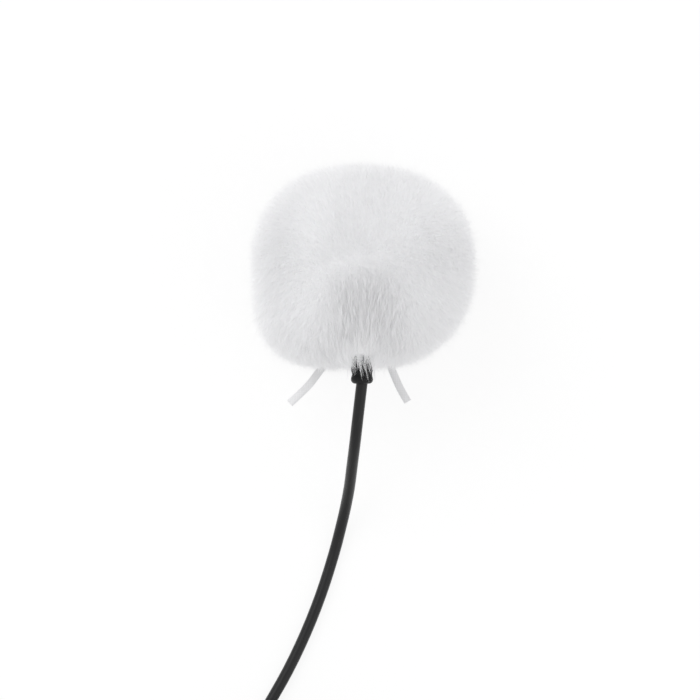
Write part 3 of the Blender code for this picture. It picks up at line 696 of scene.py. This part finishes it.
    def strand_mesh(self, name: str, course: np.ndarray, draw: np.random.Generator) -> bpy.types.Object:
        """Build one piece of fur from flat tapered strands.

        Args:
            name: The piece's name.
            course: The strands' points.
            draw: The source of chance.

        Returns:
            The new piece.
        """
        count, rows = len(course), self.rows
        tangent = np.gradient(course, axis=1)
        facing = draw.normal(0, 1, (count, 1, 3))
        side = np.cross(tangent, facing)
        side /= np.maximum(np.linalg.norm(side, axis=2, keepdims=True), 1e-12)
        taper = np.array([1.0, 0.95, 0.8, 0.5])[:rows]
        half = side[:, :rows] * (taper[None, :, None] * self.width / 2)
        pairs = np.stack([course[:, :rows] - half, course[:, :rows] + half], axis=2)
        verts = np.concatenate([pairs.reshape(count, rows * 2, 3), course[:, rows:]], axis=1)
        size = rows * 2 + 1
        start = (np.arange(count) * size)[:, None]
        quads = np.array([[2 * i, 2 * i + 1, 2 * i + 3, 2 * i + 2] for i in range(rows - 1)]).reshape(1, -1)
        tip = np.array([[2 * rows - 2, 2 * rows - 1, 2 * rows]])
        loops = np.concatenate([quads, tip], axis=1) + start
        faces_each = rows
        sizes = np.tile(np.array([4] * (rows - 1) + [3]), count)
        starts = np.concatenate([[0], np.cumsum(sizes)[:-1]])
        mesh = bpy.data.meshes.new(name)
        mesh.vertices.add(count * size)
        mesh.vertices.foreach_set("co", verts.astype(np.float32).ravel())
        mesh.loops.add(int(sizes.sum()))
        mesh.loops.foreach_set("vertex_index", loops.astype(np.int32).ravel())
        mesh.polygons.add(count * faces_each)
        mesh.polygons.foreach_set("loop_start", starts.astype(np.int32))
        column = (np.arange(count) * 0.6180339887 % 1.0)[:, None]
        across = np.array([[0, 1] * rows + [0.5]]) * 0.004
        u = np.minimum(column * 0.996 + across, 1.0)
        v = np.repeat(np.array([[*np.repeat(np.arange(rows) / rows, 2), 1.0]]), count, axis=0)
        coordinates = np.stack([u, v], axis=2).reshape(-1, 2)[loops.ravel()]
        layer = mesh.uv_layers.new(name="OFBake")
        layer.data.foreach_set("uv", coordinates.astype(np.float32).ravel())
        mesh.update(calc_edges=True)
        mesh.validate()
        mesh.shade_smooth()
        piece = bpy.data.objects.new(name, mesh)
        bpy.context.collection.objects.link(piece)
        return piece

    def undercoat(self) -> bpy.types.Object:
        """Build the dense short pile under the strands, with a funnel at the neck."""
        share = self.under_share - 0.01
        outline = []
        for degrees in range(0, 181, 2):
            angle = math.radians(degrees)
            way = np.array([[math.sin(angle), math.cos(angle), 0.0]])
            reach = float(self.envelope(way)[0]) * share
            place = (reach * math.cos(angle), reach * math.sin(angle))
            if degrees <= 90 or place[1] > self.throat:
                outline.append(place)
        inner = []
        lining = 12.7 * MM
        for degrees in range(0, 157, 8):
            angle = math.radians(degrees)
            inner.append((lining * 0.92 * math.cos(angle), lining * math.sin(angle)))
        outline += [(place, max(radius, 0.0)) for place, radius in inner[::-1]]
        turn = Matrix.Translation((0, 0, self.axis_height)) @ Matrix.Rotation(math.radians(-90), 4, "X")
        piece = finish_mesh("fur_undercoat", spin_outline(outline, 144, turn), "windscreen", 80)
        middle = np.array([0.0, 0.0, self.axis_height])
        places = np.empty(len(piece.data.vertices) * 3)
        piece.data.vertices.foreach_get("co", places)
        places = places.reshape(-1, 3) - middle
        away = np.linalg.norm(places, axis=1)
        ways = places / away[:, None]
        outer = away > 1.06 * lining
        places[outer] = ways[outer] * (self.coat(ways[outer]) - 0.1 * MM)[:, None]
        places[:, 2] = np.maximum(places[:, 2], 0.4 * MM - self.axis_height)
        piece.data.vertices.foreach_set("co", (places + middle).ravel())
        piece.data.update()
        return piece

    def build(self, wardrobe: Wardrobe) -> list:
        """Build the whole pile, sector by sector round the microphone's axis.

        Args:
            wardrobe: Hands out the finishes.

        Returns:
            The pieces of fur.
        """
        draw = np.random.default_rng(self.seed)
        course, ways = self.strand_points(draw)
        turn = np.arctan2(ways[:, 2], ways[:, 0]) / math.tau % 1.0
        sector = np.minimum((turn * self.sectors).astype(int), self.sectors - 1)
        made = []
        for i in range(self.sectors):
            piece = self.strand_mesh(f"fur_strands_{i + 1}", course[sector == i], draw)
            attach(piece, "windscreen")
            made.append(piece)
        made.append(self.undercoat())
        for piece in made:
            wardrobe.dress(piece, Finish.UNDERCOAT if piece.name == "fur_undercoat" else Finish.HAIR)
            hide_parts("fur_pile")
            LOG.info("%s: %d faces", piece.name, len(piece.data.polygons))
        return made


# ---------------------------------------------------------------- the drawstring


@dataclass
class Drawstring:
    """The flat lace: one loop round the neck inside the hem, and two loose tails."""

    width: float = 1.35 * MM
    thickness: float = 0.35 * MM
    roll: float = math.radians(4)
    axis_height: float = 17.5 * MM
    loop_radius: float = 3.45 * MM
    loop_middle: float = -13.5 * MM
    pitch: float = 1.65 * MM
    loop_points: int = 26
    step: float = 0.6 * MM
    right_tail: tuple = (
        (1.0, -12.7, 3.46), (2.5, -12.95, 3.55), (3.7, -14.0, 4.0), (4.4, -15.6, 4.7), (5.0, -17.6, 5.6),
        (5.8, -19.6, 6.4), (6.8, -21.8, 6.9), (8.05, -24.0, 6.9),
    )
    left_tail: tuple = (
        (-1.0, -14.3, 3.48), (-2.6, -14.3, 3.7), (-4.5, -15.1, 4.3), (-6.1, -16.8, 5.0), (-7.6, -18.8, 5.9),
        (-9.2, -20.9, 6.6), (-10.9, -22.6, 6.9), (-12.7, -24.3, 6.8),
    )

    def route(self) -> tuple:
        """Return the lace's points from its right end to its left, and how far along a tail each is."""

        def tail_points(tail: tuple) -> list:
            return [Vector((x, along, -drop)) * MM for x, along, drop in tail]

        loop = []
        for i in range(self.loop_points + 1):
            turn = math.tau * i / self.loop_points
            along = self.loop_middle + self.pitch * (0.5 - i / self.loop_points)
            place = (-self.loop_radius * math.sin(turn), along, -self.loop_radius * math.cos(turn))
            loop.append(Vector(place))
        right = smooth_route(tail_points(self.right_tail)[::-1] + loop[:2], self.step)[:-1]
        left = smooth_route(loop[-2:] + tail_points(self.left_tail), self.step)[1:]
        shares = [1 - i / len(right) for i in range(len(right))]
        shares += [0.0] * (len(loop) - 2)
        shares += [(i + 1) / len(left) for i in range(len(left))]
        return right + loop[1:-1] + left, shares

    def build(self, wardrobe: Wardrobe) -> bpy.types.Object:
        """Sweep the lace's rounded section along its route.

        Args:
            wardrobe: Hands out the finishes.

        Returns:
            The lace.
        """
        points, shares = self.route()
        lift = Vector((0, 0, self.axis_height))
        corner = 0.09 * MM
        half_width, half_depth = self.width / 2, self.thickness / 2
        section = [
            (-half_width, -half_depth + corner), (-half_width + corner, -half_depth),
            (half_width - corner, -half_depth), (half_width, -half_depth + corner),
            (half_width, half_depth - corner), (half_width - corner, half_depth),
            (-half_width + corner, half_depth), (-half_width, half_depth - corner),
        ]
        work = bmesh.new()
        rings = []
        for i, (point, share) in enumerate(zip(points, shares)):
            ahead, behind = points[min(i + 1, len(points) - 1)], points[max(i - 1, 0)]
            tangent = (ahead - behind).normalized()
            radial = Vector((point.x, 0.0, point.z)).normalized()
            outward = radial.lerp(Vector((0.0, 0.0, -1.0)), min(1.0, 4 * share)).normalized()
            outward.rotate(Matrix.Rotation(self.roll * share, 3, tangent))
            across = tangent.cross(outward).normalized()
            depth = across.cross(tangent).normalized()
            rings.append([work.verts.new(point + lift + across * a + depth * b) for a, b in section])
        for first, second in zip(rings, rings[1:]):
            for j in range(len(section)):
                k = (j + 1) % len(section)
                work.faces.new((first[j], first[k], second[k], second[j]))
        work.faces.new(rings[0])
        work.faces.new(rings[-1][::-1])
        piece = finish_mesh("drawstring_lace", work, "windscreen", 50)
        wardrobe.dress(piece, Finish.LACE)
        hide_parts("drawstring")
        path = [point + lift for point in points]
        length = sum((b - a).length for a, b in zip(path, path[1:]))
        return piece


# ---------------------------------------------------------------- boot and cable


@dataclass
class Boot:
    """The ribbed rubber boot at the microphone's rear."""

    radius: float = 1.86 * MM
    rib_depth: float = 0.08 * MM
    pitch: float = 1.85 * MM
    end_radius: float = 0.75 * MM
    bore: float = 1.06 * MM
    spigot: float = 1.4 * MM
    spigot_length: float = 0.9 * MM
    steps: int = 72

    def build(self, wardrobe: Wardrobe) -> bpy.types.Object:
        """Turn the boot with soft ribs and a rounded rear end.

        Args:
            wardrobe: Hands out the finishes.

        Returns:
            The boot.
        """
        low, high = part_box("strain_relief")
        front = high[1] - self.spigot_length
        rear = low[1]
        ribbed = front - rear - self.end_radius
        outline = [(high[1], self.bore), (high[1], self.spigot), (front, self.spigot)]
        count = 60
        for i in range(count + 1):
            behind = ribbed * i / count
            wave = math.cos(math.tau * (ribbed - behind) / self.pitch)
            crest = math.copysign(abs(wave) ** 0.7, wave)
            outline.append((front - behind, self.radius + self.rib_depth * crest))
        rim = self.radius + self.rib_depth - self.end_radius
        for degrees in range(10, 91, 10):
            angle = math.radians(degrees)
            outline.append((rear + self.end_radius * (1 - math.sin(angle)), rim + self.end_radius * math.cos(angle)))
        outline.append((rear, self.bore))
        middle = box_middle("strain_relief")
        turn = Matrix.Translation((middle.x, 0, middle.z)) @ Matrix.Rotation(math.radians(-90), 4, "X")
        piece = finish_mesh("ribbed_boot", spin_outline(outline, self.steps, turn), "microphone")
        wardrobe.dress(piece, Finish.BOOT)
        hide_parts("strain_relief")
        return piece


@dataclass
class Lead:
    """The microphone's cable at its full length: down to the table, into its coil and out to the plug."""

    radius: float = 1.0 * MM
    step: float = 2.4 * MM
    start: tuple = (0.0, -20.6, 17.5)
    lead_route: tuple = (
        (-0.75, -27.0, 16.7), (-1.2, -31.0, 14.9), (-1.7, -35.0, 11.6), (-2.2, -39.0, 7.5),
        (-2.95, -43.0, 3.9), (-3.9, -47.0, 1.75), (-4.95, -51.0, 1.05), (-7.0, -57.5, 1.05),
        (-9.5, -64.0, 1.05), (-12.5, -70.5, 1.05), (-15.7, -76.3, 1.05), (-19.6, -82.5, 1.05),
    )
    end_route: tuple = (
        (-21.8, -113.2, 1.05), (-18.9, -116.4, 1.5), (-15.4, -119.6, 2.8), (-11.6, -121.7, 4.1),
        (-7.9, -122.0, 4.4),
    )
    centre: tuple = (-11.4, -98.4)
    entry_reach: float = 17.5
    columns: tuple = (15.1, 13.03, 10.97, 8.9)
    levels: tuple = (1.05, 3.1, 5.15, 7.2)
    entry_angle: float = 139.5
    exit_angle: float = 222.8
    points_per_turn: int = 20
    length: float = 1.2

    def stations(self) -> list:
        """Return the radius and height of each turn, layer by layer, as a hand would wind it."""
        one, two, three, four = self.columns
        low, second, third, top = self.levels
        layers = [
            (low, (one, two, three, four)), (second, (four, three, two, one)),
            (third, (one, two, three)), (top, (three, two, one)),
        ]
        return [(radius, level) for level, radii in layers for radius in radii]

    def coil_points(self) -> list:
        """Return the coiled cable's points, in millimetres, from the lead's end to the plug's side."""
        stations = self.stations()
        turns = len(stations)
        total = turns + (self.exit_angle - self.entry_angle) / 360
        count = int(total * self.points_per_turn)
        points = []
        for i in range(count + 1):
            turned = total * i / count
            whole = min(int(turned), turns - 1)
            share = turned - whole
            radius, level = stations[whole]
            if whole + 1 < turns:
                next_radius, next_level = stations[whole + 1]
                radius += (next_radius - radius) * smoothstep((share - 0.72) / 0.14)
                level += (next_level - level) * smoothstep((share - 0.86) / 0.14)
            radius += (self.entry_reach - self.columns[0]) * (1 - smoothstep(turned / 0.12))
            leaving = turned - turns
            radius += (self.entry_reach - self.columns[0]) * smoothstep((leaving + 0.02) / 0.11)
            level += (self.levels[0] - level) * smoothstep((leaving - 0.04) / (total - turns - 0.05))
            angle = math.radians(self.entry_angle + 360 * turned)
            across, along = radius * math.cos(angle), radius * math.sin(angle)
            points.append(Vector((self.centre[0] + across, self.centre[1] + along, level)))
        return points

    def build(self, wardrobe: Wardrobe) -> bpy.types.Object:
        """Args:
            wardrobe: Hands out the finishes.

        Returns:
            The cable.
        """
        coil = self.coil_points()
        first = [Vector(place) for place in (self.start, *self.lead_route)] + coil[:1]
        last = coil[-1:] + [Vector(place) for place in self.end_route]
        step = self.step / MM
        route = smooth_route(first, step)[:-1] + coil + smooth_route(last, step)[1:]
        data = bpy.data.curves.new("microphone_cable", "CURVE")
        data.dimensions = "3D"
        data.bevel_depth = 1.0
        data.bevel_resolution = 6
        data.use_fill_caps = True
        spline = data.splines.new("POLY")
        spline.points.add(len(route) - 1)
        for point, place in zip(spline.points, route):
            point.co = (*(place * MM), 1.0)
            point.radius = self.radius
        spline.use_smooth = True
        piece = bpy.data.objects.new("microphone_cable", data)
        bpy.context.collection.objects.link(piece)
        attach(piece, "microphone")
        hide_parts("cable_lead", "cable_coil", "cable_end")
        wardrobe.dress(piece, Finish.JACKET)
        route[0] * MM
        2 * self.radius
        return piece


# ---------------------------------------------------------------- the frame's own pieces


@dataclass
class HardParts:
    """The CAD pieces that stay as they are and only get their finishes."""

    finishes: dict = field(default_factory=lambda: {
        "white_fabric": Finish.BACKING, "white_lace": Finish.LACE, "grey_foam": Finish.FOAM,
        "white_pile": Finish.BACKING, "black_metal": Finish.BLACK_METAL, "black_rubber": Finish.BOOT,
        "cable_jacket": Finish.JACKET, "nickel": Finish.NICKEL, "brass": Finish.BRASS,
        "clear_film": Finish.FILM, "black_plastic": Finish.PLASTIC, "board": Finish.BOARD,
    })
    special: dict = field(default_factory=lambda: {"acoustic_screen": Finish.SCREEN, "coil_tie": Finish.STRAP})

    def dress(self, wardrobe: Wardrobe) -> None:
        """Give every CAD node the finish of its material slot.

        Args:
            wardrobe: Hands out the finishes.
        """
        for entry in frame["record"]["subparts"]:
            name = entry["node"]
            finish = self.special.get(name, self.finishes[entry["material_slot"]])
            wardrobe.dress(frame["nodes"][name], finish)


# ---------------------------------------------------------------- studio


@dataclass
class Studio:
    """A plain white table top, soft light and a camera that looks straight down."""

    middle: tuple = (-2.1 * MM, -14.9 * MM)
    view_width: float = 122.5 * MM
    subject_height: float = 17.5 * MM
    lens: float = 400.0
    sensor: float = 36.0
    key_power: float = 0.55
    world_strength: float = 0.87

    def camera(self) -> None:
        """Place the camera above the object, with a long lens."""
        data = bpy.data.cameras.new("camera")
        data.lens = self.lens
        data.sensor_width = self.sensor
        data.clip_start = 0.01
        data.clip_end = 50.0
        camera = bpy.data.objects.new("camera", data)
        distance = self.view_width * self.lens / self.sensor
        camera.location = (*self.middle, self.subject_height + distance)
        bpy.context.collection.objects.link(camera)
        bpy.context.scene.camera = camera

    def lamp(self, name: str, place: tuple, size: float, power: float) -> None:
        """Add a square soft lamp that faces the ball.

        Args:
            name: The lamp's name.
            place: Where it hangs, in metres.
            size: Its side, in metres.
            power: Its power in watts.
        """
        data = bpy.data.lights.new(name, "AREA")
        data.size = size
        data.energy = power
        lamp = bpy.data.objects.new(name, data)
        lamp.location = place
        aim = Vector((0.0, 0.0, self.subject_height)) - Vector(place)
        lamp.rotation_euler = aim.to_track_quat("-Z", "Y").to_euler()
        bpy.context.collection.objects.link(lamp)

    def floor(self) -> None:
        """Lay the table top, which shows white and keeps a faint shadow."""
        work = bmesh.new()
        bmesh.ops.create_grid(work, x_segments=1, y_segments=1, size=3.0)
        bmesh.ops.translate(work, vec=(0, 0, -0.02 * MM), verts=work.verts)
        mesh = bpy.data.meshes.new("table_top")
        work.to_mesh(mesh)
        work.free()
        top = bpy.data.objects.new("table_top", mesh)
        bpy.context.collection.objects.link(top)
        surface = Surface("white_table")
        surface.set(Base_Color=(0.93, 0.93, 0.93, 1.0), Roughness=0.9, Specular_IOR_Level=0.0)
        rays = surface.node("ShaderNodeLightPath").outputs
        seen = Signal(surface, rays["Is Camera Ray"]) * 0.86
        white = surface.node("ShaderNodeEmission", None, {"Color": (1.0, 1.0, 1.0, 1.0), "Strength": 1.0})
        both = surface.node("ShaderNodeMixShader", None, {0: seen})
        surface.feed(both.inputs[1], surface.shader.outputs[0])
        surface.feed(both.inputs[2], white.outputs[0])
        surface.feed(surface.tree.nodes["Material Output"].inputs[0], both.outputs[0])
        mesh.materials.append(surface.material)

    def world(self) -> None:
        """Light the scene evenly and show white behind it."""
        world = bpy.data.worlds.new("studio")
        world.use_nodes = True
        tree = world.node_tree
        background = tree.nodes["Background"]
        background.inputs["Color"].default_value = (1.0, 1.0, 1.0, 1.0)
        path = tree.nodes.new("ShaderNodeLightPath")
        level = tree.nodes.new("ShaderNodeMapRange")
        level.inputs["To Min"].default_value = self.world_strength
        level.inputs["To Max"].default_value = 1.0
        tree.links.new(path.outputs["Is Camera Ray"], level.inputs["Value"])
        tree.links.new(level.outputs["Result"], background.inputs["Strength"])
        bpy.context.scene.world = world

    def build(self) -> None:
        """Set up everything but the object."""
        self.camera()
        self.floor()
        self.world()
        self.lamp("key_lamp", (-0.45, 0.42, 0.75), 0.55, self.key_power * 5.2)
        self.lamp("fill_lamp", (0.6, -0.25, 0.6), 0.7, self.key_power * 1.6)
        bpy.context.scene.view_settings.view_transform = "Standard"


def write_sizes() -> None:
    """Bring the scene's placements up to date."""
    bpy.context.view_layer.update()


def main() -> None:
    """Build the studio and every piece, in order."""
    logging.basicConfig(level=logging.INFO, format="%(message)s")
    wardrobe = Wardrobe()
    Studio().build()
    Lead().build(wardrobe)
    Drawstring().build(wardrobe)
    HardParts().dress(wardrobe)
    Boot().build(wardrobe)
    FurBall().build(wardrobe)
    write_sizes()


if __name__ == "__main__":
    main()
